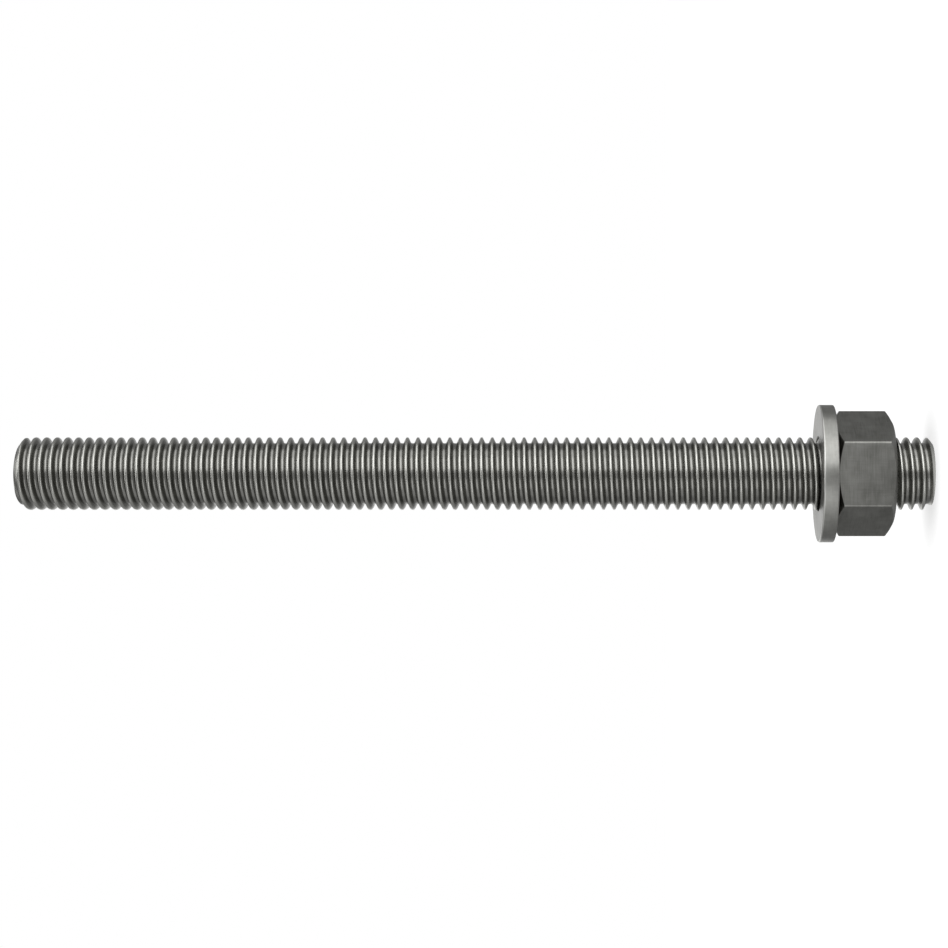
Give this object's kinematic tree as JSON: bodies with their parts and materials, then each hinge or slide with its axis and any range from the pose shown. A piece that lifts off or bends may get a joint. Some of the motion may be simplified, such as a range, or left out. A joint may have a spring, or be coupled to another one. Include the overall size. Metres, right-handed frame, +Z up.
{
  "type": "chemical anchor rod",
  "caption": "Threaded steel anchor rod for bonding into a drilled hole, standing on its outer end, with a flat washer and a hexagon nut near that end.",
  "frame": {"origin": "on the surface that the anchor stands on, under the middle of its stud end", "axes": "+Z up along the rod from the stud end to the embedded end; two of the nut's flats face -Y and +Y, and its corners lie towards -X and +X"},
  "size_m": [0.0226, 0.0228, 0.15],
  "materials": {
    "rod_steel": "rolled thread, satin",
    "washer_steel": "stamped, satin",
    "nut_steel": "cold formed, satin with fine scratches"
  },
  "bodies": {
    "rod": {"threaded_rod": "rod_steel"},
    "washer": {"flat_washer": "washer_steel"},
    "nut": {"hex_nut": "nut_steel"}
  },
  "joints": [
    {"name": "washer_travel", "type": "slide", "parent": "rod", "child": "washer", "axis": [0, 0, -1], "range_m": [-0.1313, 0.0066]},
    {"name": "nut_turn", "type": "hinge", "parent": "washer", "child": "nut", "pos_m": [0, 0, 0.0114], "axis": [0, 0, -1], "range_deg": [-27010, 1357]}
  ],
  "couplings": [
    {"joint": "washer_travel", "follows": "nut_turn", "m_per_rad": 0.00027852}
  ]
}
